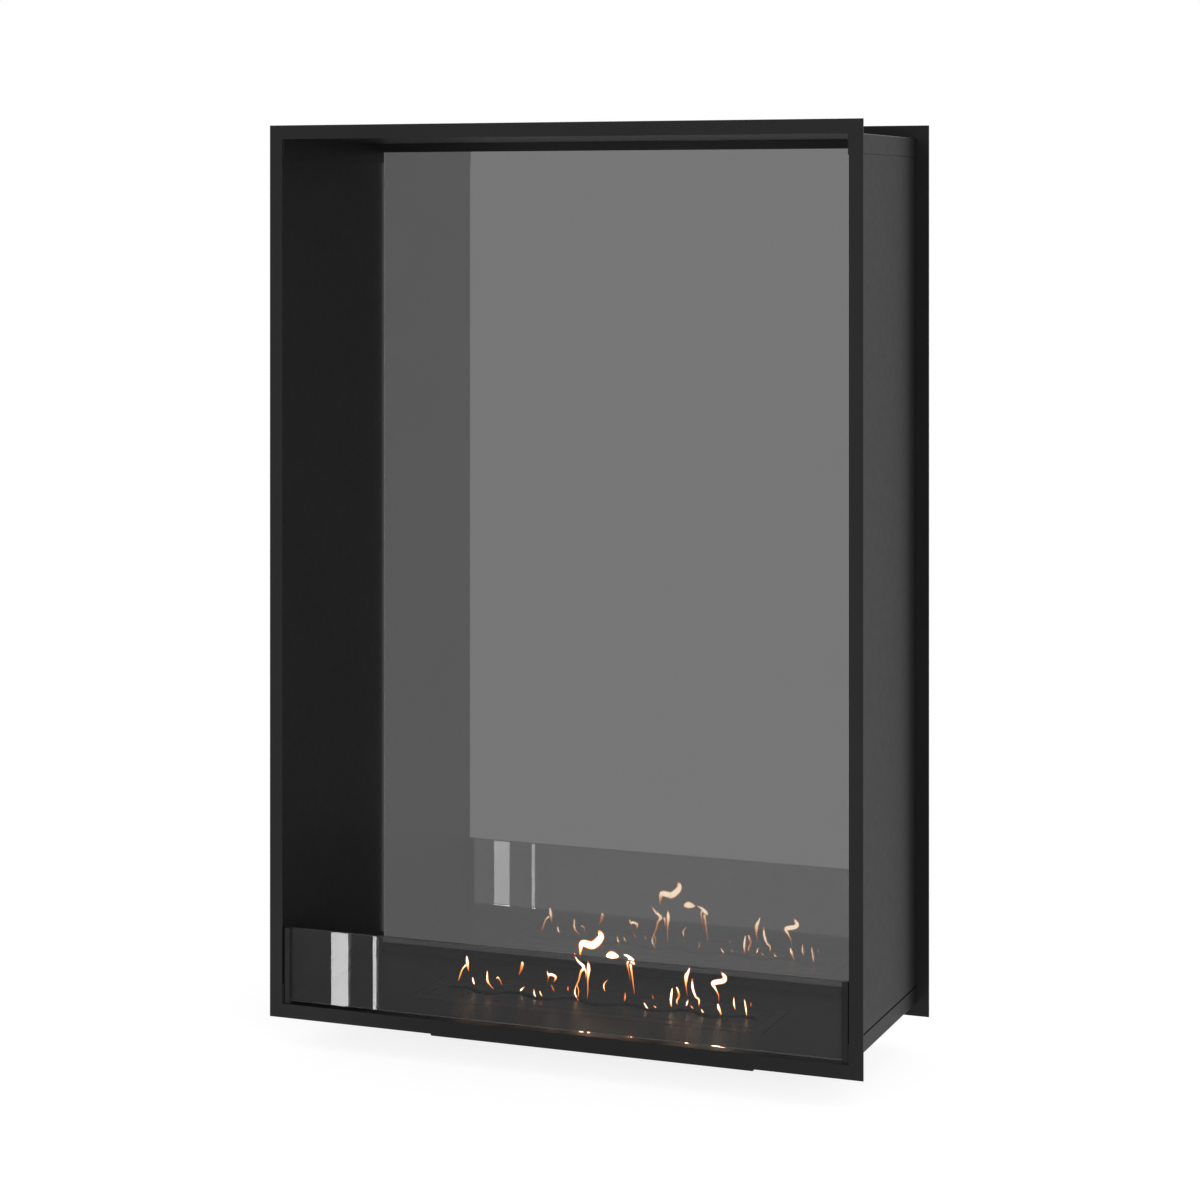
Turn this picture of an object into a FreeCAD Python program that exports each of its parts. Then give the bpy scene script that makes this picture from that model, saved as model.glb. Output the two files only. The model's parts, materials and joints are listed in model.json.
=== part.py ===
import FreeCAD, Part
import os

# A built-in firebox for a wall that is open on both sides, with an ethanol burner in its floor.
# Millimetres: x along the front, y from the front to the rear, z up from the underside of the safety tray.

# Casing and flanges
CASING_WIDTH = 750.0
CASING_HEIGHT = 1100.0
OVERALL_DEPTH = 300.0
CASING_SHEET = 1.5
BEND_RADIUS = 2.0
FLANGE_OVERHANG = 16.0
FLANGE_THICKNESS = 2.0
FLANGE_SEAT_DEPTH = 0.8
TRAY_LIP_HEIGHT = 21.3
TRAY_SEAM_GAP = 2.4
CAP_LIP_HEIGHT = 24.0
CAP_SEAM_GAP = 0.6
WALL_LAP = 2.0

# Full-height rear pane in its two channels
REAR_GLASS_THICKNESS = 4.0
REAR_GLASS_SIDE_GAP = 2.0
REAR_GLASS_HEAD_ROOM = 2.5
CHANNEL_HEIGHT = 11.0
CHANNEL_SHEET = 0.8
CHANNEL_PLAY = 0.1
SETTING_BLOCK_LENGTH = 60.0
SETTING_BLOCK_HEIGHT = 1.5
SETTING_BLOCK_SPACING = 370.0

# Low front pane in its two holders
FRONT_GLASS_HEIGHT = 93.0
FRONT_GLASS_THICKNESS = 6.0
FRONT_GLASS_SETBACK = 5.0
FRONT_GLASS_END_PLAY = 0.5
HOLDER_WIDTH = 7.0
HOLDER_SHEET = 1.2
HOLDER_FRONT_CHEEK = 1.9
HOLDER_PLAY = 0.3
HOLDER_WALL_GAP = 2.0
FRONT_PAD_HEIGHT = 3.0
FRONT_PAD_LENGTH = 5.0
GLASS_CHAMFER = 0.5

# Burner opening in the floor, and the frame under it
BURNER_LENGTH = 472.0
BURNER_DEPTH = 121.0
FLOOR_SEAM = 1.8
FRAME_WIDTH = 15.0
LEDGE_WIDTH = 10.0
LEDGE_SHEET = 1.5
STUD_COLUMNS = 4
STUD_RADIUS = 2.0
STUD_TAIL = 1.3
STUD_HOLE_PLAY = 0.25
NUT_ACROSS_FLATS = 7.0
NUT_HEIGHT = 3.2
NUT_PLAY = 0.05

# Safety tray, trim plate and burner
SAFETY_TRAY_DEPTH = 51.5
TRAY_SHEET = 1.5
TRIM_END_WIDTH = 14.0
TRIM_SIDE_WIDTH = 19.5
PANEL_SEAM = 1.6
PANEL_END_BEARING = 3.9
PANEL_SIDE_BEARING = 2.9
TANK_CLEARANCE = 1.0
TANK_FLOOR_GAP = 1.5
TANK_SHEET = 1.0
WOOL_HEIGHT = 32.0
WOOL_CLEARANCE = 0.6
GRID_SHEET = 0.8
GRID_BAR = 6.0
GRID_WINDOWS = 12

# Winding flame slot and the damper that closes it
HALF_WAVES = 11
WAVE_HEIGHT = 8.35
SLOT_WIDTH = 14.0
SLOT_END_MARGIN = 9.2
DAMPER_SHEET = 1.2
DAMPER_GAP = 0.3
DAMPER_SETBACK = 0.5
DAMPER_OVERLAP = 2.0
DAMPER_EDGE_GAP = 1.0
PIN_RADIUS = 1.5
PIN_RISE = 11.0
PIN_PLACE_RATIO = 4.58
PIN_MARGIN = 4.0
PIN_PLAY = 0.5
PIN_TIP_ROUND = 0.5
RUNNER_COUNT = 4
RUNNER_WIDTH = 6.0
RUNNER_SHEET = 1.2

# How far a cutting shape runs past what it cuts
CUT = 1.0

# Levels
FLOOR_BOTTOM = SAFETY_TRAY_DEPTH + TRAY_SHEET
FLOOR_TOP = FLOOR_BOTTOM + CASING_SHEET
CASING_TOP = FLOOR_BOTTOM + CASING_HEIGHT
CEILING = CASING_TOP - CASING_SHEET
TRAY_LIP_TOP = FLOOR_BOTTOM + TRAY_LIP_HEIGHT
CAP_LIP_BOTTOM = CASING_TOP - CAP_LIP_HEIGHT

# Casing faces
FRONT = -OVERALL_DEPTH / 2
REAR = OVERALL_DEPTH / 2
CASING_FRONT = FRONT + FLANGE_THICKNESS - FLANGE_SEAT_DEPTH
CASING_REAR = -CASING_FRONT
WALL_OUTSIDE = CASING_WIDTH / 2
WALL_INSIDE = WALL_OUTSIDE - CASING_SHEET
TONGUE_INSIDE = WALL_INSIDE - CASING_SHEET

# Rear pane and channels
CHANNEL_FRONT = REAR - REAR_GLASS_THICKNESS - 2 * (CHANNEL_PLAY + CHANNEL_SHEET)
REAR_GLASS_END = WALL_INSIDE - REAR_GLASS_SIDE_GAP
REAR_GLASS_FRONT = CHANNEL_FRONT + CHANNEL_SHEET + CHANNEL_PLAY
REAR_GLASS_BACK = REAR_GLASS_FRONT + REAR_GLASS_THICKNESS
REAR_GLASS_BOTTOM = FLOOR_TOP + CHANNEL_SHEET + SETTING_BLOCK_HEIGHT
REAR_GLASS_TOP = CEILING - CHANNEL_SHEET - REAR_GLASS_HEAD_ROOM

# Front pane and holders
FRONT_GLASS_FRONT = FRONT + FRONT_GLASS_SETBACK
FRONT_GLASS_BACK = FRONT_GLASS_FRONT + FRONT_GLASS_THICKNESS
FRONT_GLASS_BOTTOM = FLOOR_TOP + FRONT_PAD_HEIGHT
FRONT_GLASS_TOP = FRONT_GLASS_BOTTOM + FRONT_GLASS_HEIGHT
HOLDER_OUTSIDE = WALL_INSIDE - HOLDER_WALL_GAP
HOLDER_INSIDE = HOLDER_OUTSIDE - HOLDER_WIDTH
HOLDER_GROOVE_END = HOLDER_OUTSIDE - HOLDER_SHEET
FRONT_GLASS_END = HOLDER_GROOVE_END - FRONT_GLASS_END_PLAY

# Burner opening, half lengths along x and half depths along y
BURNER_HALF = (BURNER_LENGTH / 2, BURNER_DEPTH / 2)
CUTOUT_HALF = tuple(half + FLOOR_SEAM for half in BURNER_HALF)
FRAME_HALF = tuple(half + FRAME_WIDTH for half in CUTOUT_HALF)
STUD_HALF = tuple(half + FRAME_WIDTH / 2 for half in CUTOUT_HALF)
LEDGE_HALF = tuple(half - LEDGE_WIDTH for half in BURNER_HALF)
TRIM_HALF = (BURNER_HALF[0] - TRIM_END_WIDTH, BURNER_HALF[1] - TRIM_SIDE_WIDTH)
PANEL_HALF = tuple(half - PANEL_SEAM for half in TRIM_HALF)
TRAY_INNER = (PANEL_HALF[0] - PANEL_END_BEARING, PANEL_HALF[1] - PANEL_SIDE_BEARING)
TRAY_OUTER = tuple(half + TRAY_SHEET for half in TRAY_INNER)
TANK_OUTER = tuple(half - TANK_CLEARANCE for half in TRAY_INNER)
TANK_INNER = tuple(half - TANK_SHEET for half in TANK_OUTER)
WOOL_HALF = tuple(half - WOOL_CLEARANCE for half in TANK_INNER)
TANK_BOTTOM = TRAY_SHEET + TANK_FLOOR_GAP
WOOL_BOTTOM = TANK_BOTTOM + TANK_SHEET
WOOL_TOP = WOOL_BOTTOM + WOOL_HEIGHT

# Damper
DAMPER_TOP = FLOOR_BOTTOM - DAMPER_GAP
DAMPER_BOTTOM = DAMPER_TOP - DAMPER_SHEET
DAMPER_FRONT = DAMPER_EDGE_GAP - TANK_INNER[1]
DAMPER_END = TANK_INNER[0] - DAMPER_EDGE_GAP
DAMPER_TRAVEL = SLOT_WIDTH + DAMPER_SETBACK + DAMPER_OVERLAP
PIN_Y = DAMPER_FRONT + PIN_MARGIN
SLOT_END = PANEL_HALF[0] - SLOT_END_MARGIN
HALF_WAVE = 2 * SLOT_END / HALF_WAVES
PIN_X = PIN_PLACE_RATIO * HALF_WAVE


def both_ways(half):
    return (-half, half)


def box(x, y, z):
    corner = FreeCAD.Vector(x[0], y[0], z[0])
    return Part.makeBox(x[1] - x[0], y[1] - y[0], z[1] - z[0], corner)


def slab(half, z):
    return box(both_ways(half[0]), both_ways(half[1]), z)


def rod(radius, x, y, z):
    return Part.makeCylinder(radius, z[1] - z[0], FreeCAD.Vector(x, y, z[0]))


def mirrored_in_x(shape):
    return shape.mirror(FreeCAD.Vector(0, 0, 0), FreeCAD.Vector(1, 0, 0))


def mirrored_in_y(shape):
    return shape.mirror(FreeCAD.Vector(0, 0, 0), FreeCAD.Vector(0, 1, 0))


def depth_edges(shape, x, z):
    """The edges that run front to back at a given height, at both ends of the casing."""
    found = []
    for edge in shape.Edges:
        middle = edge.BoundBox
        along_y = middle.XLength < CUT and middle.ZLength < CUT
        at_place = abs(abs(middle.Center.x) - x) < CUT / 2 and abs(middle.Center.z - z) < CUT / 2
        if along_y and at_place:
            found.append(edge)
    return found


def front_flange():
    """Flat frame; the casing's edges seat in a shallow step behind its opening."""
    height = (FLOOR_BOTTOM - FLANGE_OVERHANG, CASING_TOP + FLANGE_OVERHANG)
    back = FRONT + FLANGE_THICKNESS
    plate = box(both_ways(WALL_OUTSIDE + FLANGE_OVERHANG), (FRONT, back), height)
    opening = box(both_ways(WALL_INSIDE), (FRONT - CUT, back + CUT), (FLOOR_TOP, CEILING))
    seat = box(both_ways(WALL_OUTSIDE), (CASING_FRONT, back + CUT), (FLOOR_BOTTOM, CASING_TOP))
    return plate.cut(opening).cut(seat)


def base_tray():
    """Floor sheet with bent-up side lips and the opening for the burner."""
    outside = box(both_ways(WALL_OUTSIDE), (CASING_FRONT, CASING_REAR), (FLOOR_BOTTOM, TRAY_LIP_TOP))
    bent = outside.makeFillet(BEND_RADIUS, depth_edges(outside, WALL_OUTSIDE, FLOOR_BOTTOM))
    inside = box(both_ways(WALL_INSIDE), (FRONT, REAR), (FLOOR_TOP, TRAY_LIP_TOP + CUT))
    opening = slab(CUTOUT_HALF, (FLOOR_BOTTOM - CUT, FLOOR_TOP + CUT))
    return bent.cut(inside).cut(opening)


def top_cap():
    """Ceiling sheet with bent-down side lips."""
    outside = box(both_ways(WALL_OUTSIDE), (CASING_FRONT, CASING_REAR), (CAP_LIP_BOTTOM, CASING_TOP))
    bent = outside.makeFillet(BEND_RADIUS, depth_edges(outside, WALL_OUTSIDE, CASING_TOP))
    inside = box(both_ways(WALL_INSIDE), (FRONT, REAR), (CAP_LIP_BOTTOM - CUT, CEILING))
    return bent.cut(inside)


def right_wall():
    """Side sheet, flush with the lips, with set-in tongues that lap behind them."""
    sheet_z = (TRAY_LIP_TOP + TRAY_SEAM_GAP, CAP_LIP_BOTTOM - CAP_SEAM_GAP)
    depth = (CASING_FRONT, CASING_REAR)
    tongue_x = (TONGUE_INSIDE, WALL_INSIDE)
    sheet = box((WALL_INSIDE, WALL_OUTSIDE), depth, sheet_z)
    foot = box(tongue_x, depth, (FLOOR_TOP, sheet_z[0] + WALL_LAP))
    head = box(tongue_x, depth, (sheet_z[1] - WALL_LAP, CEILING))
    return sheet.fuse([foot, head]).removeSplitter()


def channel(web_z, legs_z):
    """U-section along the rear opening; the web is at the floor or at the ceiling."""
    length = both_ways(REAR_GLASS_END)
    section = box(length, (CHANNEL_FRONT, REAR), (min(web_z[0], legs_z[0]), max(web_z[1], legs_z[1])))
    groove_y = (CHANNEL_FRONT + CHANNEL_SHEET, REAR - CHANNEL_SHEET)
    groove = box(both_ways(REAR_GLASS_END + CUT), groove_y, legs_z)
    return section.cut(groove)


def rear_glass_bottom_channel():
    web = (FLOOR_TOP, FLOOR_TOP + CHANNEL_SHEET)
    return channel(web, (web[1], FLOOR_TOP + CHANNEL_HEIGHT))


def rear_glass_top_channel():
    web = (CEILING - CHANNEL_SHEET, CEILING)
    return channel(web, (CEILING - CHANNEL_HEIGHT, web[0]))


def rear_glass_setting_blocks():
    y = (REAR_GLASS_FRONT, REAR_GLASS_BACK)
    z = (FLOOR_TOP + CHANNEL_SHEET, REAR_GLASS_BOTTOM)
    blocks = []
    for middle in both_ways(SETTING_BLOCK_SPACING / 2):
        x = (middle - SETTING_BLOCK_LENGTH / 2, middle + SETTING_BLOCK_LENGTH / 2)
        blocks.append(box(x, y, z))
    return Part.makeCompound(blocks)


def pane(end, y, z):
    """Glass sheet with ground edges."""
    sheet = box(both_ways(end), y, z)
    return sheet.makeChamfer(GLASS_CHAMFER, sheet.Edges)


def rear_glass():
    return pane(REAR_GLASS_END, (REAR_GLASS_FRONT, REAR_GLASS_BACK), (REAR_GLASS_BOTTOM, REAR_GLASS_TOP))


def front_glass():
    y = (FRONT_GLASS_FRONT, FRONT_GLASS_BACK)
    return pane(FRONT_GLASS_END, y, (FRONT_GLASS_BOTTOM, FRONT_GLASS_TOP))


def right_glass_holder():
    """Upright U-section that the end of the low pane drops into."""
    groove_y = (FRONT_GLASS_FRONT - HOLDER_PLAY, FRONT_GLASS_BACK + HOLDER_PLAY)
    outside_y = (groove_y[0] - HOLDER_FRONT_CHEEK, groove_y[1] + HOLDER_SHEET)
    post = box((HOLDER_INSIDE, HOLDER_OUTSIDE), outside_y, (FLOOR_TOP, FRONT_GLASS_TOP))
    groove = box((HOLDER_INSIDE - CUT, HOLDER_GROOVE_END), groove_y, (FLOOR_TOP - CUT, FRONT_GLASS_TOP + CUT))
    return post.cut(groove)


def front_glass_pads():
    x = (FRONT_GLASS_END - FRONT_PAD_LENGTH, FRONT_GLASS_END)
    right = box(x, (FRONT_GLASS_FRONT, FRONT_GLASS_BACK), (FLOOR_TOP, FRONT_GLASS_BOTTOM))
    return Part.makeCompound([mirrored_in_x(right), right])


def stud_places():
    """Stud centres in two rows along the front and rear members of the support frame."""
    step = 2 * STUD_HALF[0] / (STUD_COLUMNS - 1)
    places = []
    for y in both_ways(STUD_HALF[1]):
        for column in range(STUD_COLUMNS):
            places.append((column * step - STUD_HALF[0], y))
    return places


def burner_support_frame():
    """Stepped ring under the floor; its ledge carries the rim of the safety tray."""
    z = (SAFETY_TRAY_DEPTH - LEDGE_SHEET, FLOOR_BOTTOM)
    frame = slab(FRAME_HALF, z)
    pocket = slab(CUTOUT_HALF, (SAFETY_TRAY_DEPTH, z[1] + CUT))
    mouth = slab(LEDGE_HALF, (z[0] - CUT, z[1]))
    holes = [rod(STUD_RADIUS + STUD_HOLE_PLAY, x, y, (z[0] - CUT, z[1] + CUT)) for x, y in stud_places()]
    return frame.cut([pocket, mouth] + holes)


def support_frame_studs():
    bottom = SAFETY_TRAY_DEPTH - LEDGE_SHEET - NUT_HEIGHT - STUD_TAIL
    return Part.makeCompound([rod(STUD_RADIUS, x, y, (bottom, FLOOR_BOTTOM)) for x, y in stud_places()])


def hexagon_nut(x, y, top):
    corner = FreeCAD.Vector(NUT_ACROSS_FLATS / 3 ** 0.5, 0, 0)
    up = FreeCAD.Vector(0, 0, 1)
    outline = Part.makePolygon([FreeCAD.Rotation(up, 60 * step).multVec(corner) for step in range(7)])
    prism = Part.Face(outline).extrude(up * NUT_HEIGHT)
    prism.translate(FreeCAD.Vector(x, y, top - NUT_HEIGHT))
    return prism.cut(rod(STUD_RADIUS + NUT_PLAY, x, y, (top - NUT_HEIGHT - CUT, top + CUT)))


def support_frame_nuts():
    top = SAFETY_TRAY_DEPTH - LEDGE_SHEET
    return Part.makeCompound([hexagon_nut(x, y, top) for x, y in stud_places()])


def safety_tray():
    """Pan that hangs by its rim and catches spilt fuel."""
    rim = slab(BURNER_HALF, (SAFETY_TRAY_DEPTH, FLOOR_BOTTOM))
    pan = slab(TRAY_OUTER, (0, SAFETY_TRAY_DEPTH))
    bottom_edges = [edge for edge in pan.Edges if edge.BoundBox.ZMax < CUT]
    bent_pan = pan.makeFillet(BEND_RADIUS, bottom_edges)
    hollow = slab(TRAY_INNER, (TRAY_SHEET, FLOOR_BOTTOM + CUT))
    return rim.fuse(bent_pan).cut(hollow).removeSplitter()


def burner_trim_plate():
    plate = slab(BURNER_HALF, (FLOOR_BOTTOM, FLOOR_TOP))
    return plate.cut(slab(TRIM_HALF, (FLOOR_BOTTOM - CUT, FLOOR_TOP + CUT)))


def wave_arcs(shift):
    """One arc per half wave, left to right; the middle one bows towards the front."""
    arcs = []
    for index in range(HALF_WAVES):
        left = index * HALF_WAVE - SLOT_END
        bow = WAVE_HEIGHT if (index - HALF_WAVES // 2) % 2 else -WAVE_HEIGHT
        start = FreeCAD.Vector(left, shift, 0)
        middle = FreeCAD.Vector(left + HALF_WAVE / 2, shift + bow, 0)
        end = FreeCAD.Vector(left + HALF_WAVE, shift, 0)
        arcs.append(Part.Arc(start, middle, end).toShape())
    return arcs


def prism_between(edges, z):
    """Upright prism on a closed run of edges drawn at height zero."""
    outline = Part.Wire(Part.sortEdges(edges)[0])
    prism = Part.Face(outline).extrude(FreeCAD.Vector(0, 0, z[1] - z[0]))
    prism.translate(FreeCAD.Vector(0, 0, z[0]))
    return prism


def flame_slot(z):
    half = SLOT_WIDTH / 2
    ends = []
    for x in both_ways(SLOT_END):
        ends.append(Part.makeLine(FreeCAD.Vector(x, -half, 0), FreeCAD.Vector(x, half, 0)))
    return prism_between(wave_arcs(-half) + wave_arcs(half) + ends, z)


def pin_guide(x, z):
    """Slot for one damper pin, as long as the damper's travel."""
    radius = PIN_RADIUS + PIN_PLAY
    straight = box((x - radius, x + radius), (PIN_Y, PIN_Y + DAMPER_TRAVEL), z)
    return straight.fuse([rod(radius, x, PIN_Y, z), rod(radius, x, PIN_Y + DAMPER_TRAVEL, z)])


def burner_top():
    """Plate flush in the floor, with the flame slot and the guides of the damper pins."""
    through = (FLOOR_BOTTOM - CUT, FLOOR_TOP + CUT)
    guides = [pin_guide(x, through) for x in both_ways(PIN_X)]
    return slab(PANEL_HALF, (FLOOR_BOTTOM, FLOOR_TOP)).cut([flame_slot(through)] + guides)


def fuel_tank():
    outside = slab(TANK_OUTER, (TANK_BOTTOM, FLOOR_BOTTOM))
    return outside.cut(slab(TANK_INNER, (WOOL_BOTTOM, FLOOR_BOTTOM + CUT)))


def wool_pad():
    return slab(WOOL_HALF, (WOOL_BOTTOM, WOOL_TOP))


def wool_grid():
    """Perforated plate that lies on the wool."""
    z = (WOOL_TOP, WOOL_TOP + GRID_SHEET)
    plate = slab(WOOL_HALF, z)
    pitch = (2 * WOOL_HALF[0] - GRID_BAR) / GRID_WINDOWS
    window_y = both_ways(WOOL_HALF[1] - GRID_BAR)
    windows = []
    for index in range(GRID_WINDOWS):
        left = GRID_BAR - WOOL_HALF[0] + index * pitch
        windows.append(box((left, left + pitch - GRID_BAR), window_y, (z[0] - CUT, z[1] + CUT)))
    return plate.cut(windows)


def damper_runners():
    """Cross bars between the tank's long sides, just below the damper."""
    top = DAMPER_BOTTOM - DAMPER_GAP
    pitch = 2 * TANK_INNER[0] / RUNNER_COUNT
    bars = []
    for index in range(RUNNER_COUNT):
        middle = (index - (RUNNER_COUNT - 1) / 2) * pitch
        x = (middle - RUNNER_WIDTH / 2, middle + RUNNER_WIDTH / 2)
        bars.append(box(x, both_ways(TANK_INNER[1]), (top - RUNNER_SHEET, top)))
    return Part.makeCompound(bars)


def damper_plate():
    """Open position: its wavy rear edge lies along the front edge of the flame slot."""
    rear = -SLOT_WIDTH / 2 - DAMPER_SETBACK
    edges = wave_arcs(rear)
    for side in (-1, 1):
        slot_end = FreeCAD.Vector(side * SLOT_END, rear, 0)
        corner = FreeCAD.Vector(side * DAMPER_END, rear, 0)
        edges.append(Part.makeLine(slot_end, corner))
        edges.append(Part.makeLine(corner, FreeCAD.Vector(side * DAMPER_END, DAMPER_FRONT, 0)))
    front_left = FreeCAD.Vector(-DAMPER_END, DAMPER_FRONT, 0)
    edges.append(Part.makeLine(front_left, FreeCAD.Vector(DAMPER_END, DAMPER_FRONT, 0)))
    return prism_between(edges, (DAMPER_BOTTOM, DAMPER_TOP))


def damper_pins():
    pins = []
    for x in both_ways(PIN_X):
        pin = rod(PIN_RADIUS, x, PIN_Y, (DAMPER_TOP, FLOOR_TOP + PIN_RISE))
        tip = [edge for edge in pin.Edges if edge.BoundBox.ZMin > FLOOR_TOP]
        pins.append(pin.makeFillet(PIN_TIP_ROUND, tip))
    return Part.makeCompound(pins)


def all_nodes():
    return {
        "front_flange": front_flange(),
        "rear_flange": mirrored_in_y(front_flange()),
        "base_tray": base_tray(),
        "top_cap": top_cap(),
        "left_wall": mirrored_in_x(right_wall()),
        "right_wall": right_wall(),
        "rear_glass": rear_glass(),
        "rear_glass_bottom_channel": rear_glass_bottom_channel(),
        "rear_glass_top_channel": rear_glass_top_channel(),
        "rear_glass_setting_blocks": rear_glass_setting_blocks(),
        "front_glass": front_glass(),
        "left_glass_holder": mirrored_in_x(right_glass_holder()),
        "right_glass_holder": right_glass_holder(),
        "front_glass_pads": front_glass_pads(),
        "burner_support_frame": burner_support_frame(),
        "support_frame_studs": support_frame_studs(),
        "support_frame_nuts": support_frame_nuts(),
        "safety_tray": safety_tray(),
        "burner_trim_plate": burner_trim_plate(),
        "burner_top": burner_top(),
        "fuel_tank": fuel_tank(),
        "wool_pad": wool_pad(),
        "wool_grid": wool_grid(),
        "damper_runners": damper_runners(),
        "damper_plate": damper_plate(),
        "damper_pins": damper_pins(),
    }


os.makedirs("parts", exist_ok=True)
for name, shape in all_nodes().items():
    shape.exportStep("parts/" + name + ".step")
    print(name, len(shape.Solids), "solids", round(shape.Volume), "mm3", "valid" if shape.isValid() else "INVALID")
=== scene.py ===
import json
import math

import bmesh
import bpy
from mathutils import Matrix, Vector, noise


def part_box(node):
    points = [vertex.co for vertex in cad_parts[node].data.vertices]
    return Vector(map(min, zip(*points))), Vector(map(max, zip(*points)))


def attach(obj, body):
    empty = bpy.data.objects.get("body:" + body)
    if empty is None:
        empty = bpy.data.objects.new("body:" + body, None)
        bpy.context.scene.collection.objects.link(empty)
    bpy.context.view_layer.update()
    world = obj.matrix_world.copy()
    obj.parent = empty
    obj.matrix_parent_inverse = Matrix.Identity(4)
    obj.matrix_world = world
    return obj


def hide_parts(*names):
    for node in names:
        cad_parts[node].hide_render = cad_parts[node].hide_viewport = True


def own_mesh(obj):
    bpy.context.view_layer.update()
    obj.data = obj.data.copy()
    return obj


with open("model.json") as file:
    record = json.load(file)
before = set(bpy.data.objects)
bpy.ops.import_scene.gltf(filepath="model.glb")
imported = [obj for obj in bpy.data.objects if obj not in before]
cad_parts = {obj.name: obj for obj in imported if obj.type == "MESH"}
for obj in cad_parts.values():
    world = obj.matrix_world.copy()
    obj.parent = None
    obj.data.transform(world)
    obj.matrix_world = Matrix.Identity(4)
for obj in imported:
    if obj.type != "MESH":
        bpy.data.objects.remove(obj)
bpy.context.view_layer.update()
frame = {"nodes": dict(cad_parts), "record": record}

WHITE = (1, 1, 1, 1)

# Camera: level, its lens in millimetres and shifted down by a share of the frame; metres and degrees
CAMERA_PLACE = (1.3589, -3.4912, 1.0559)
CAMERA_TURN = 21.256
CAMERA_LENS = 88.46
CAMERA_SHIFT_DOWN = 0.32125

# Studio: how bright the white surroundings look, and how strongly they light the object
SEEN_WHITE = 1.0
WORLD_LIGHT = 0.75
FLOOR_SIZE = 12.0
FLOOR_DROP = 0.0005
FLOOR_COLOUR = 0.8
FLOOR_SHADE_SHARE = 0.32
FLOOR_GLOW = 0.84

# Two upright lamps in front, at the left, that the panes reflect
LAMP_DISTANCE = -0.522
LAMP_IN_REFLECTION = 22.2
LAMP_THROUGH_GLASS = 8.3
LAMP_HEIGHTS = (-0.056, 0.0625)
LAMP_SPANS = ((-0.4945, -0.468), (-0.43, -0.4246))

# Two grey cards that only reflections show: one in front for the panes, one behind for the right side
FRONT_CARD_DISTANCE = -0.6
FRONT_CARD_GLOW = 0.12
FRONT_CARD_HEIGHTS = (-0.085, 0.034)
FRONT_CARD_SPAN = (-0.61, 0.24)
SIDE_CARD_DISTANCE = 2.0
SIDE_CARD_GLOW = 0.6
SIDE_CARD_HEIGHTS = (-0.8, 2.0)
SIDE_CARD_SPAN = (0.45, 2.6)

# One large soft lamp in front, at the right
SOFT_LAMP_PLACE = (1.9, -2.3, 0.5)
SOFT_LAMP_AIM = (-0.2, 0.0, 0.55)
SOFT_LAMP_SIZE = 1.6
SOFT_LAMP_POWER = 80.0

# Most of a noise pattern lies between these two values
PATTERN_LOW = 0.3
PATTERN_HIGH = 0.7

# Sockets of Blender's Mix node that carry colours
MIX_FIRST_COLOUR = 6
MIX_SECOND_COLOUR = 7
MIX_COLOUR_RESULT = 2

# Panes: how squarely a face looks front or back where the large faces end and where the rim starts
RIM_FACING = (0.95, 0.8)
RIM_ROUGHNESS = 0.6
# Share of the light that passes each face of the low pane
PANE_TINT = 0.6

# Soot and painted shade inside the burner's tank under the slot: how far it reaches from the middle, and
# where it starts above the ground
SOOT_AND_SHADE_REACH = {"X": 0.2150, "Y": 0.0350}
SOOT_AND_SHADE_EDGE = 0.0002
SOOT_AND_SHADE_RISE = (0.030, 0.038)

# Wool mat: cuts along x, y and z, lumps per metre, and depths in millimetres
WOOL_CUTS = (70, 14, 6)
WOOL_ALONG_AXIS = 0.9
WOOL_PULL_IN = 0.012
WOOL_LUMPS = 70
WOOL_INSET = 0.2
WOOL_LUMP_DEPTH = 1.0
WOOL_EDGE_DEPTH = 1.2
WOOL_EDGE_POWER = 8

# Flames: millimetres, along a slot that winds with this half wave
HALF_WAVE = 38.4
FLAME_SWING = 5.0
FLAME_DEPTH_SHARE = 0.7
FLAME_SIDES = 10
FLAME_STEPS = 6
FLAME_THINNEST = 0.4
SHELL_SHARE = 0.82
SHELL_HEAT_SHARE = 0.36
SHELL_COVER = 0.5
CORE_SHARE = 0.58
CORE_HEAT_SHARE = 1.0
CORE_TRIM = 0.06

# A flame's colours from cool to hot, and how brightly it burns there
HEAT_LAYER = "flame_heat"
HEAT_COLOURS = (
    (0.0, (0.75, 0.10, 0.010)),
    (0.35, (1.0, 0.24, 0.035)),
    (0.65, (1.0, 0.58, 0.19)),
    (1.0, (0.92, 0.97, 0.79)),
)
HEAT_POWER = 1.5
COOL_GLOW = 1.2
HOT_GLOW = 15.5

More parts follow.
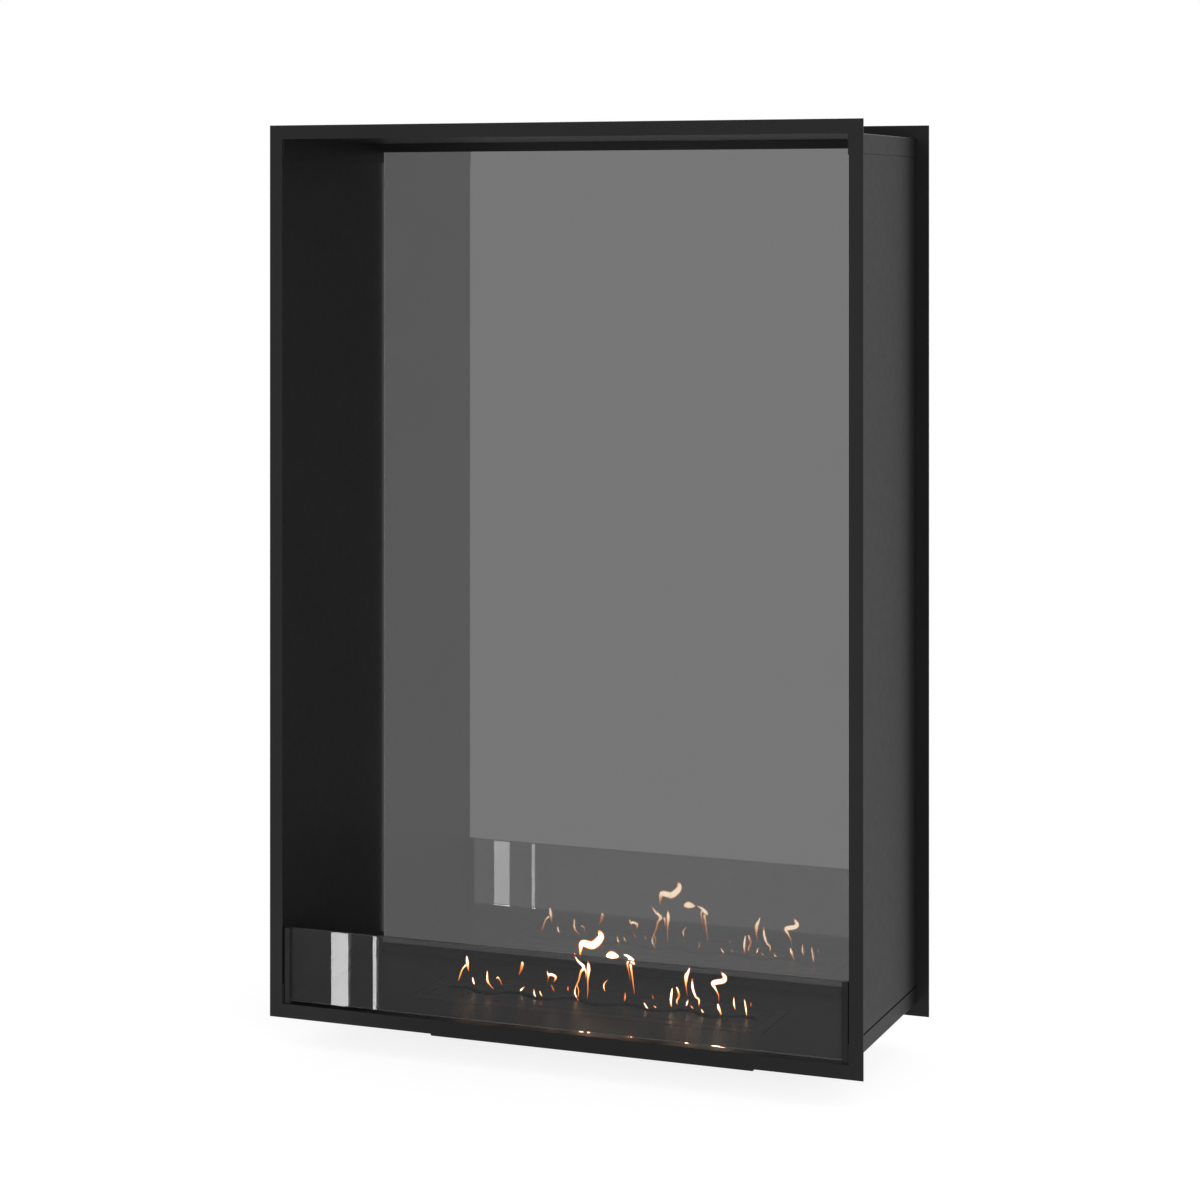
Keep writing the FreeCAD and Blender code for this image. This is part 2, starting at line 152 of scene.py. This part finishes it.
# Each flame runs from one end to the other: place along the slot, height, width, heat
FLAMES = (
    ((-197, 8, 1.0, 0.2), (-195, 15, 2.2, 0.5), (-191, 25, 2.6, 0.7), (-185, 31, 4.0, 1.0)),
    ((-182, 22, 1.0, 0.2), (-183, 28, 3.4, 0.6), (-184, 35, 5.5, 1.0), (-185, 43, 1.4, 0.9)),
    ((-172, 7, 1.0, 0.6), (-174, 11, 3.4, 1.0), (-175, 17, 1.0, 0.8)),
    ((-143, 5, 1.0, 0.3), (-148, 10, 2.0, 0.5), (-152, 16, 4.0, 0.8), (-152, 29, 1.4, 0.9)),
    ((-133, 10, 0.8, 0.3), (-136, 17, 1.6, 0.5), (-139, 20, 2.4, 0.8), (-141, 18, 1.0, 0.6)),
    ((-112, 24, 1.0, 0.1), (-109, 31, 4.4, 0.3), (-107, 38, 5.6, 0.6), (-107, 42, 2.2, 1.0)),
    ((-110, 4, 2.0, 0.6), (-108, 6, 3.0, 1.0), (-103, 11, 1.0, 0.2)),
    ((-85, 0, 1.0, 0.4), (-87, 4, 3.0, 1.0), (-88, 11, 1.4, 0.3)),
    ((-75, 2, 0.8, 0.3), (-78, 6, 2.6, 0.8), (-79, 10, 1.0, 0.5)),
    ((-61, 21, 1.0, 0.2), (-58, 28, 4.4, 0.8), (-64, 31, 4.6, 1.0), (-68, 30, 3.6, 0.9),
     (-70, 36, 1.2, 0.7)),
    ((-69, 20, 0.8, 0.1), (-68, 25, 1.4, 0.2), (-67, 30, 3.0, 0.8)),
    ((-60, 9, 1.0, 0.2), (-62, 13, 2.4, 0.3), (-65, 19, 0.8, 0.2)),
    ((-44, 10, 1.0, 0.3), (-44, 13, 2.6, 0.4), (-44, 17, 0.8, 0.2)),
    ((-29, -1, 1.2, 0.7), (-34, 8, 2.6, 0.9), (-33, 16, 2.2, 0.6), (-29, 25, 2.6, 0.5),
     (-26, 36, 4.0, 0.6), (-22, 43, 6.0, 1.0), (-30, 50, 3.8, 0.9), (-36, 59, 1.2, 0.7)),
    ((-30, 3, 1.0, 0.4), (-29, 12, 1.8, 0.5), (-31, 20, 1.6, 0.5), (-28, 28, 2.0, 0.4)),
    ((-15, 4, 0.8, 0.2), (-14, 16, 1.8, 0.4), (-14, 28, 2.6, 0.5), (-13, 43, 6.4, 1.0),
     (-14, 53, 1.4, 0.8)),
    ((-18, 29, 0.8, 0.2), (-17, 36, 2.6, 0.6), (-19, 43, 4.6, 1.0)),
    ((-25, 56, 1.2, 0.1), (-25, 64, 4.0, 0.5), (-22, 74, 10.0, 1.0), (-8, 73, 12.5, 1.0),
     (3, 84, 10.5, 1.0), (0, 92, 4.0, 1.0)),
    ((9, 60, 2.0, 0.9), (17, 62, 13.0, 1.0), (27, 61, 2.0, 0.9)),
    ((10, 16, 0.8, 0.4), (8, 23, 2.6, 0.8), (10, 28, 1.8, 0.6), (14, 32, 0.8, 0.3)),
    ((47, 52, 2.4, 0.9), (43, 56, 7.0, 1.0), (37, 61, 4.0, 1.0), (31, 63, 1.2, 0.9)),
    ((41, 30, 0.8, 0.1), (39, 42, 1.8, 0.3), (37, 52, 3.2, 0.7), (39, 58, 4.0, 1.0)),
    ((47, 14, 0.8, 0.2), (45, 28, 2.2, 0.4), (43, 42, 3.4, 0.6), (41, 54, 5.0, 1.0)),
    ((33, 4, 0.8, 0.3), (34, 10, 2.8, 0.5), (34, 16, 1.0, 0.3)),
    ((68, 0, 1.0, 0.6), (65, 3, 2.8, 1.0), (62, 8, 1.0, 0.7)),
    ((76, 13, 1.0, 0.1), (75, 16, 2.6, 0.2), (74, 19, 0.8, 0.1)),
    ((80, 3, 0.8, 0.4), (78, 4, 2.2, 0.6), (76, 6, 0.8, 0.3)),
    ((98, 4, 1.2, 0.5), (97, 12, 3.8, 0.9), (98, 22, 3.6, 1.0), (99, 29, 1.0, 0.8)),
    ((105, 7, 1.0, 0.5), (104, 12, 2.4, 0.7), (107, 19, 4.0, 0.4), (105, 27, 3.0, 0.9),
     (103, 30, 1.0, 0.8)),
    ((118, 19, 0.8, 0.1), (116, 30, 2.2, 0.4), (116, 43, 7.0, 0.9), (119, 50, 3.8, 1.0),
     (121, 56, 1.0, 0.9)),
    ((116, 6, 1.0, 0.7), (117, 10, 3.0, 1.0), (119, 15, 1.0, 0.5)),
    ((134, 8, 1.0, 0.6), (134, 17, 3.4, 0.8), (130, 20, 3.0, 0.9), (126, 30, 4.4, 1.0),
     (125, 43, 2.0, 0.9)),
    ((126, 4, 0.8, 0.4), (124, 6, 2.2, 0.6), (122, 8, 0.8, 0.3)),
    ((142, 2, 0.8, 0.5), (140, 4, 2.6, 0.9), (138, 7, 0.8, 0.5)),
    ((162, 18, 0.8, 0.2), (162, 26, 1.8, 0.4), (158, 34, 3.4, 0.9), (155, 41, 8.0, 1.0),
     (168, 45, 8.6, 1.0), (170, 50, 7.0, 1.0), (165, 56, 1.6, 0.9)),
    ((167, -1, 0.8, 0.3), (164, 6, 3.2, 0.7), (162, 11, 5.0, 1.0), (161, 16, 2.2, 0.9)),
    ((182, 8, 0.8, 0.3), (180, 16, 3.0, 0.9), (180, 25, 0.8, 0.6)),
    ((196, 1, 0.8, 0.4), (195, 11, 3.0, 0.9), (193, 23, 1.4, 0.8)),
    ((202, 14, 0.8, 0.2), (202, 17, 2.2, 0.3), (202, 20, 0.8, 0.2)),
)


def metres(millimetres):
    return millimetres / 1000


def grey(value):
    return (value, value, value, 1)


def photo_camera():
    data = bpy.data.cameras.new("photo_camera")
    data.lens = CAMERA_LENS
    data.shift_y = -CAMERA_SHIFT_DOWN
    camera = bpy.data.objects.new("photo_camera", data)
    camera.location = CAMERA_PLACE
    camera.rotation_euler = (math.radians(90), 0, math.radians(CAMERA_TURN))
    bpy.context.collection.objects.link(camera)
    bpy.context.scene.camera = camera


def add_node(tree, kind, **values):
    """A new node with its sockets set; an underscore in a socket's name stands for a space."""
    node = tree.nodes.new(kind)
    for name, value in values.items():
        node.inputs[name.replace("_", " ")].default_value = value
    return node


def feed(tree, node, *sources):
    """The node's result from these sources, in the order of its inputs; a number is set there as it is."""
    for socket, source in zip(node.inputs, sources):
        if isinstance(source, float):
            socket.default_value = source
        else:
            tree.links.new(source, socket)
    return node.outputs[0]


def calculate(tree, operation, *sources):
    node = add_node(tree, "ShaderNodeMath")
    node.operation = operation
    return feed(tree, node, *sources)


def rescaled(tree, source, start=0.0, end=1.0, low=0.0, high=1.0):
    """A value that runs from low to high while the source runs from start to end."""
    node = add_node(tree, "ShaderNodeMapRange", From_Min=start, From_Max=end, To_Min=low, To_Max=high)
    return feed(tree, node, source)


def mixed(tree, share, first, second):
    """Surface that turns from the first into the second as the share goes from 0 to 1."""
    return feed(tree, add_node(tree, "ShaderNodeMixShader"), share, first, second)


def blended(tree, share, first, second):
    """Colour that turns from the first into the second as the share goes from 0 to 1."""
    blend = add_node(tree, "ShaderNodeMix")
    blend.data_type = "RGBA"
    tree.links.new(share, blend.inputs["Factor"])
    tree.links.new(first, blend.inputs[MIX_FIRST_COLOUR])
    tree.links.new(second, blend.inputs[MIX_SECOND_COLOUR])
    return blend.outputs[MIX_COLOUR_RESULT]


def ramp(tree, source, stops):
    """Colours that run through the stops, each of them a value of the source and its colour."""
    node = add_node(tree, "ShaderNodeValToRGB")
    elements = node.color_ramp.elements
    for element, (place, colour) in zip(elements, (stops[0], stops[-1])):
        element.position = place
        element.color = (*colour, 1)
    for place, colour in stops[1:-1]:
        elements.new(place).color = (*colour, 1)
    return feed(tree, node, source)


def ray_is(tree, first_kind, *other_kinds):
    """1 for rays of these kinds, and 0 for all others."""
    path = add_node(tree, "ShaderNodeLightPath")
    found = path.outputs[first_kind]
    for kind in other_kinds:
        found = calculate(tree, "MAXIMUM", found, path.outputs[kind])
    return found


def white_glow(tree, strength):
    return add_node(tree, "ShaderNodeEmission", Color=WHITE, Strength=strength).outputs[0]


def studio_world():
    """White for rays that show it, in the picture or in metal and glass, and dimmer as a light."""
    world = bpy.data.worlds.new("studio")
    bpy.context.scene.world = world
    world.use_nodes = True
    tree = world.node_tree
    tree.nodes.clear()
    lighting = add_node(tree, "ShaderNodeBackground", Color=WHITE, Strength=WORLD_LIGHT)
    seen = add_node(tree, "ShaderNodeBackground", Color=WHITE, Strength=SEEN_WHITE)
    seen_directly = ray_is(tree, "Is Camera Ray", "Is Glossy Ray", "Is Transmission Ray")
    output = add_node(tree, "ShaderNodeOutputWorld")
    surroundings = mixed(tree, seen_directly, lighting.outputs[0], seen.outputs[0])
    tree.links.new(surroundings, output.inputs["Surface"])


def empty_material(name):
    material = bpy.data.materials.new(name)
    material.use_nodes = True
    material.node_tree.nodes.clear()
    output = add_node(material.node_tree, "ShaderNodeOutputMaterial")
    return material, material.node_tree, output.inputs["Surface"]


def floor_material():
    """White floor that glows for the camera and still shows a soft shadow."""
    material, tree, surface = empty_material("studio_floor")
    plain = add_node(tree, "ShaderNodeBsdfDiffuse", Color=grey(FLOOR_COLOUR))
    shadowed = add_node(tree, "ShaderNodeBsdfDiffuse", Color=grey(FLOOR_COLOUR * FLOOR_SHADE_SHARE))
    both = add_node(tree, "ShaderNodeAddShader")
    seen = feed(tree, both, shadowed.outputs[0], white_glow(tree, FLOOR_GLOW))
    tree.links.new(mixed(tree, ray_is(tree, "Is Camera Ray"), plain.outputs[0], seen), surface)
    return material


def lamp_material():
    """Brighter as a reflection than through a pane, like a lamp behind a diffuser."""
    material, tree, surface = empty_material("lamp_card")
    reflected = white_glow(tree, LAMP_IN_REFLECTION)
    through = white_glow(tree, LAMP_THROUGH_GLASS)
    tree.links.new(mixed(tree, ray_is(tree, "Is Transmission Ray"), reflected, through), surface)
    return material


def grey_card_material(name, strength):
    material, tree, surface = empty_material(name)
    tree.links.new(white_glow(tree, strength), surface)
    return material


def rectangle(first, second):
    """The four corners, one after the other, of a rectangle over two ranges."""
    (left, right), (low, high) = first, second
    return (left, low), (right, low), (right, high), (left, high)


def flat_object(name, corners, material):
    mesh = bpy.data.meshes.new(name)
    mesh.from_pydata(corners, [], [(0, 1, 2, 3)])
    mesh.materials.append(material)
    item = bpy.data.objects.new(name, mesh)
    bpy.context.collection.objects.link(item)
    return item


def studio_floor():
    span = (-FLOOR_SIZE / 2, FLOOR_SIZE / 2)
    corners = [(x, y, -FLOOR_DROP) for x, y in rectangle(span, span)]
    floor = flat_object("studio_floor", corners, floor_material())
    floor.visible_glossy = False
    floor.visible_transmission = False


def upright_card(name, span, heights, distance, material):
    """A flat card that only panes and glossy faces see."""
    corners = [(x, distance, z) for x, z in rectangle(span, heights)]
    card = flat_object(name, corners, material)
    card.visible_camera = False
    card.visible_diffuse = False
    card.visible_shadow = False
    return card


def lamp_cards():
    bright = lamp_material()
    for index, span in enumerate(LAMP_SPANS):
        upright_card("lamp_card_" + str(index), span, LAMP_HEIGHTS, LAMP_DISTANCE, bright)


def grey_card(name, span, heights, distance, strength):
    """A dim card that shows in reflections and never through a pane."""
    card = upright_card(name, span, heights, distance, grey_card_material(name, strength))
    card.visible_transmission = False


def grey_cards():
    grey_card("front_card", FRONT_CARD_SPAN, FRONT_CARD_HEIGHTS, FRONT_CARD_DISTANCE, FRONT_CARD_GLOW)
    grey_card("side_card", SIDE_CARD_SPAN, SIDE_CARD_HEIGHTS, SIDE_CARD_DISTANCE, SIDE_CARD_GLOW)


def soft_lamp():
    data = bpy.data.lights.new("soft_lamp", "AREA")
    data.size = SOFT_LAMP_SIZE
    data.energy = SOFT_LAMP_POWER
    lamp = bpy.data.objects.new("soft_lamp", data)
    lamp.location = SOFT_LAMP_PLACE
    aim = Vector(SOFT_LAMP_AIM) - Vector(SOFT_LAMP_PLACE)
    lamp.rotation_euler = aim.to_track_quat("-Z", "Y").to_euler()
    lamp.visible_glossy = False
    lamp.visible_transmission = False
    bpy.context.collection.objects.link(lamp)


def shaded_material(name, **values):
    material, tree, surface = empty_material(name)
    shader = add_node(tree, "ShaderNodeBsdfPrincipled", **values)
    tree.links.new(shader.outputs[0], surface)
    return material, tree, shader


def pattern(tree, scale, stretch=(1, 1, 1), detail=3.0):
    """Noise over the surface in metres; a stretch below one draws it out along that axis."""
    place = add_node(tree, "ShaderNodeTexCoord")
    mapping = add_node(tree, "ShaderNodeMapping", Scale=stretch)
    texture = add_node(tree, "ShaderNodeTexNoise", Scale=scale, Detail=detail)
    tree.links.new(place.outputs["Object"], mapping.inputs["Vector"])
    tree.links.new(mapping.outputs[0], texture.inputs["Vector"])
    return texture.outputs["Fac"]


def spread(tree, source, low, high):
    """Turns a pattern into values between low and high."""
    return rescaled(tree, source, PATTERN_LOW, PATTERN_HIGH, low, high)


def shades(tree, source, dark, light):
    """Turns a pattern into colours between dark and light."""
    return ramp(tree, source, ((PATTERN_LOW, dark), (PATTERN_HIGH, light)))


def roughen(tree, shader, source, strength, depth):
    """Raises and sinks the surface with a pattern, by a depth in millimetres."""
    bump = add_node(tree, "ShaderNodeBump", Strength=strength, Distance=metres(depth))
    tree.links.new(source, bump.inputs["Height"])
    tree.links.new(bump.outputs[0], shader.inputs["Normal"])


def sprayed_grain(tree):
    """The fine orange peel of a sprayed coat."""
    return pattern(tree, scale=420.0, detail=1.0)


def black_powder_coat():
    """Satin black coat with a fine grain and faint cloudiness."""
    material, tree, shader = shaded_material("black_powder_coat", Specular_IOR_Level=0.2)
    clouds = pattern(tree, scale=9.0)
    colour = shades(tree, clouds, dark=(0.0060, 0.0060, 0.0062), light=(0.0072, 0.0072, 0.0074))
    roughness = spread(tree, pattern(tree, scale=90.0), low=0.38, high=0.42)
    tree.links.new(colour, shader.inputs["Base Color"])
    tree.links.new(roughness, shader.inputs["Roughness"])
    roughen(tree, shader, sprayed_grain(tree), strength=0.1, depth=0.03)
    return material


def black_burner_plate():
    """Heat-proof black, a little browner here and there from the fire."""
    material, tree, shader = shaded_material("black_burner_plate", Specular_IOR_Level=0.22)
    heated = pattern(tree, scale=16.0, stretch=(0.6, 1.6, 1.0))
    colour = shades(tree, heated, dark=(0.0085, 0.0086, 0.0092), light=(0.0120, 0.0115, 0.0113))
    roughness = spread(tree, pattern(tree, scale=45.0), low=0.34, high=0.38)
    tree.links.new(colour, shader.inputs["Base Color"])
    tree.links.new(roughness, shader.inputs["Roughness"])
    roughen(tree, shader, sprayed_grain(tree), strength=0.04, depth=0.02)
    return material


def split_place(tree, kind):
    """The X, Y and Z of a place or direction on the surface."""
    place = add_node(tree, "ShaderNodeTexCoord")
    split = add_node(tree, "ShaderNodeSeparateXYZ")
    tree.links.new(place.outputs[kind], split.inputs[0])
    return split.outputs


def ground_rim(tree):
    """1 on the ground edges of a pane that stands along the front, and 0 on its two large faces."""
    facing = calculate(tree, "ABSOLUTE", split_place(tree, "Normal")["Y"])
    return rescaled(tree, facing, *RIM_FACING)


def smoked_glass():
    """Dark full-height pane with frosted edges; a trace of haze darkens it here and there."""
    material, tree, shader = shaded_material("smoked_glass", Transmission_Weight=1.0, IOR=1.8)
    haze = shades(tree, pattern(tree, scale=5.0), dark=(0.109, 0.109, 0.110), light=(0.113, 0.113, 0.114))
    frost = shades(tree, pattern(tree, scale=300.0), dark=(0.60, 0.60, 0.60), light=(0.75, 0.75, 0.75))
    rim = ground_rim(tree)
    tree.links.new(blended(tree, rim, haze, frost), shader.inputs["Base Color"])
    tree.links.new(rescaled(tree, rim, high=RIM_ROUGHNESS), shader.inputs["Roughness"])
    return material


def let_light_through(tree, shader):
    """Light that falls on what lies behind the pane comes straight through it, dimmed by the tint."""
    surface = shader.outputs[0].links[0].to_socket
    clear = add_node(tree, "ShaderNodeBsdfTransparent", Color=grey(PANE_TINT))
    lighting = ray_is(tree, "Is Shadow Ray", "Is Diffuse Ray")
    tree.links.new(mixed(tree, lighting, shader.outputs[0], clear.outputs[0]), surface)


def tinted_glass():
    """Tinted low pane with a coat that dims its reflections, and a trace of haze."""
    material, tree, shader = shaded_material(
        "tinted_glass", Transmission_Weight=0.965, IOR=1.5, Roughness=0.0, Specular_Tint=grey(0.5))
    haze = shades(tree, pattern(tree, scale=7.0), dark=(0.365, 0.365, 0.368), light=(0.380, 0.380, 0.383))
    tree.links.new(haze, shader.inputs["Base Color"])
    let_light_through(tree, shader)
    return material


def soot_and_slot_shade(tree):
    """1 inside the burner near its top, where the steel is sooted by the fire and darkened with painted
    shade under the slot, and 0 elsewhere.
    """
    place = split_place(tree, "Object")
    share = rescaled(tree, place["Z"], *SOOT_AND_SHADE_RISE)
    for axis, reach in SOOT_AND_SHADE_REACH.items():
        away = calculate(tree, "ABSOLUTE", place[axis])
        within = rescaled(tree, away, reach + SOOT_AND_SHADE_EDGE, reach - SOOT_AND_SHADE_EDGE)
        share = calculate(tree, "MULTIPLY", share, within)
    return share


def bare_steel():
    """Sheet and bar brushed along the burner, inside near its top sooted by the fire and darkened with
    painted shade.
    """
    material, tree, shader = shaded_material("bare_steel", Metallic=1.0)
    strokes = pattern(tree, scale=900.0, stretch=(0.02, 1.0, 1.0))
    clean = shades(tree, strokes, dark=(0.46, 0.455, 0.45), light=(0.58, 0.575, 0.57))
    # Sooted black, and painted shade in the recess under the slot
    black = shades(tree, strokes, dark=(0.006, 0.006, 0.006), light=(0.012, 0.011, 0.010))
    tree.links.new(blended(tree, soot_and_slot_shade(tree), clean, black), shader.inputs["Base Color"])
    tree.links.new(spread(tree, strokes, low=0.28, high=0.42), shader.inputs["Roughness"])
    roughen(tree, shader, strokes, strength=0.15, depth=0.04)
    return material


def ceramic_wool():
    """Off-white felted fibre."""
    material, tree, shader = shaded_material(
        "ceramic_wool", Roughness=0.95, Specular_IOR_Level=0.1, Sheen_Weight=0.3)
    fibres = pattern(tree, scale=420.0, stretch=(0.25, 1.0, 1.0), detail=6.0)
    colour = shades(tree, fibres, dark=(0.66, 0.645, 0.61), light=(0.86, 0.85, 0.82))
    tree.links.new(colour, shader.inputs["Base Color"])
    roughen(tree, shader, fibres, strength=0.8, depth=0.6)
    return material


def black_rubber():
    """Matt rubber with a faint bloom."""
    material, tree, shader = shaded_material("black_rubber", Specular_IOR_Level=0.3)
    bloom = pattern(tree, scale=250.0)
    colour = shades(tree, bloom, dark=(0.016, 0.016, 0.016), light=(0.030, 0.030, 0.030))
    tree.links.new(colour, shader.inputs["Base Color"])
    tree.links.new(spread(tree, bloom, low=0.62, high=0.8), shader.inputs["Roughness"])
    roughen(tree, shader, bloom, strength=0.2, depth=0.1)
    return material


def finish_cad_nodes(materials):
    for subpart in frame["record"]["subparts"]:
        node = frame["nodes"][subpart["node"]]
        for slot in node.material_slots:
            slot.material = materials[subpart["material_slot"]]


def burning(tree):
    """Colour and strength of a flame from the heat stored on its mesh, with a little flicker."""
    stored = add_node(tree, "ShaderNodeAttribute")
    stored.attribute_name = HEAT_LAYER
    flicker = spread(tree, pattern(tree, scale=160.0, stretch=(1.0, 1.0, 0.5)), low=0.9, high=1.0)
    heat = calculate(tree, "MULTIPLY", stored.outputs["Fac"], flicker)
    colour = ramp(tree, heat, HEAT_COLOURS)
    rise = calculate(tree, "POWER", heat, HEAT_POWER)
    strength = rescaled(tree, rise, low=COOL_GLOW, high=HOT_GLOW)
    return feed(tree, add_node(tree, "ShaderNodeEmission"), colour, strength)


def flame_core_material():
    material, tree, surface = empty_material("flame_core")
    tree.links.new(burning(tree), surface)
    return material


def flame_shell_material():
    """Thin burning gas round the core, half see-through."""
    material, tree, surface = empty_material("flame_shell")
    clear = add_node(tree, "ShaderNodeBsdfTransparent")
    tree.links.new(mixed(tree, SHELL_COVER, clear.outputs[0], burning(tree)), surface)
    return material


def smooth_point(before, start, end, after, share):
    """Point on a smooth curve between start and end."""
    square = share * share
    cube = square * share
    start_share = 2 * cube - 3 * square + 1
    leaving_share = cube - 2 * square + share
    arriving_share = cube - square
    values = []
    for earlier, first, second, later in zip(before, start, end, after):
        straight = start_share * first + (1 - start_share) * second
        bend = leaving_share * (second - earlier) / 2 + arriving_share * (later - first) / 2
        values.append(straight + bend)
    return values


def flame_line(points):
    """The flame's points, drawn out into a smooth line."""
    line = []
    for index in range(len(points) - 1):
        before = points[max(index - 1, 0)]
        after = points[min(index + 2, len(points) - 1)]
        for step in range(FLAME_STEPS):
            share = step / FLAME_STEPS
            line.append(smooth_point(before, points[index], points[index + 1], after, share))
    line.append(list(points[-1]))
    return line


def flame_ring(shape, line, index, width_share, heat_share, foot):
    """The vertices round one point of a flame's line, or a single one at its ends."""
    heat_layer = shape.verts.layers.float[HEAT_LAYER]
    x, height, width, heat = line[index]
    behind = line[max(index - 1, 0)]
    ahead = line[min(index + 1, len(line) - 1)]
    along = Vector((ahead[0] - behind[0], 0, ahead[1] - behind[1])).normalized()
    across = Vector((along.z, 0, -along.x))
    at_end = index in (0, len(line) - 1)
    reach = 0 if at_end else max(width, FLAME_THINNEST) * width_share / 2
    ring = []
    for side in range(1 if at_end else FLAME_SIDES):
        angle = math.tau * side / FLAME_SIDES
        offset = across * math.cos(angle) + Vector((0, FLAME_DEPTH_SHARE * math.sin(angle), 0))
        vertex = shape.verts.new(foot + metres(Vector((x, 0, height)) + offset * reach))
        vertex[heat_layer] = min(max(heat, 0), 1) * heat_share
        ring.append(vertex)
    return ring


def add_tube(shape, line, width_share, heat_share, material_index, plate_top):
    """One closed, flattened tube along a flame's line, with pointed ends."""
    middle = sum(point[0] for point in line) / len(line)
    swing = -FLAME_SWING * math.cos(math.pi * middle / HALF_WAVE)
    foot = Vector((0, metres(swing), plate_top))
    rings = [flame_ring(shape, line, index, width_share, heat_share, foot) for index in range(len(line))]
    for lower, upper in zip(rings, rings[1:]):
        for side in range(FLAME_SIDES):
            corners = (lower[side % len(lower)], lower[(side + 1) % len(lower)],
                       upper[(side + 1) % len(upper)], upper[side % len(upper)])
            face = shape.faces.new(list(dict.fromkeys(corners)))
            face.material_index = material_index


def smooth_object(name, shape, *materials):
    """A smoothly shaded object from a finished shape."""
    bmesh.ops.recalc_face_normals(shape, faces=shape.faces)
    for face in shape.faces:
        face.smooth = True
    mesh = bpy.data.meshes.new(name)
    shape.to_mesh(mesh)
    shape.free()
    for material in materials:
        mesh.materials.append(material)
    item = bpy.data.objects.new(name, mesh)
    bpy.context.collection.objects.link(item)
    return item


def flames():
    """Tongues of burning alcohol over the slot: a hot core inside a see-through shell."""
    plate_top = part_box("burner_top")[1][2]
    shape = bmesh.new()
    shape.verts.layers.float.new(HEAT_LAYER)
    for points in FLAMES:
        line = flame_line(points)
        trim = max(1, round(CORE_TRIM * len(line)))
        add_tube(shape, line, SHELL_SHARE, SHELL_HEAT_SHARE, 0, plate_top)
        add_tube(shape, line[trim:-trim], CORE_SHARE, CORE_HEAT_SHARE, 1, plate_top)
    item = smooth_object("flames", shape, flame_shell_material(), flame_core_material())
    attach(item, "burner")
    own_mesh(item)


def cut_along(shape, axis, cuts):
    """Divides all edges that run along one axis."""
    edges = []
    for edge in shape.edges:
        run = edge.verts[1].co - edge.verts[0].co
        if abs(run[axis]) > WOOL_ALONG_AXIS * run.length:
            edges.append(edge)
    bmesh.ops.subdivide_edges(shape, edges=edges, cuts=cuts, use_grid_fill=True)


def felted(place, half):
    """Where a point of a cube from -1 to 1 lies on a felted mat of this half size."""
    squeeze = 1 - WOOL_PULL_IN * (1 - place.z ** 2)
    spot = Vector((place.x * half.x * squeeze, place.y * half.y * squeeze, place.z * half.z))
    edge = abs(place.y * place.z) ** WOOL_EDGE_POWER
    lump = (1 + noise.noise(spot * WOOL_LUMPS)) / 2
    inward = WOOL_INSET + WOOL_LUMP_DEPTH * lump + WOOL_EDGE_DEPTH * edge
    return spot - spot.normalized() * metres(inward)


def wool_mat(material):
    """Felted fibre mat: rounded edges, sides pulled in, and a lumpy surface."""
    low, high = (Vector(corner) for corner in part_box("wool_pad"))
    centre = (low + high) / 2
    half = (high - low) / 2
    shape = bmesh.new()
    bmesh.ops.create_cube(shape, size=2.0)
    for axis, cuts in enumerate(WOOL_CUTS):
        cut_along(shape, axis, cuts)
    for vertex in shape.verts:
        vertex.co = centre + felted(vertex.co, half)
    item = smooth_object("wool_mat", shape, material)
    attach(item, "burner")
    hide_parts("wool_pad")


materials = {
    "black_powder_coat": black_powder_coat(),
    "black_burner_plate": black_burner_plate(),
    "smoked_glass": smoked_glass(),
    "tinted_glass": tinted_glass(),
    "bare_steel": bare_steel(),
    "ceramic_wool": ceramic_wool(),
    "black_rubber": black_rubber(),
}
bpy.context.scene.view_settings.view_transform = "Standard"
photo_camera()
studio_world()
studio_floor()
lamp_cards()
grey_cards()
soft_lamp()
finish_cad_nodes(materials)
wool_mat(materials["ceramic_wool"])
flames()
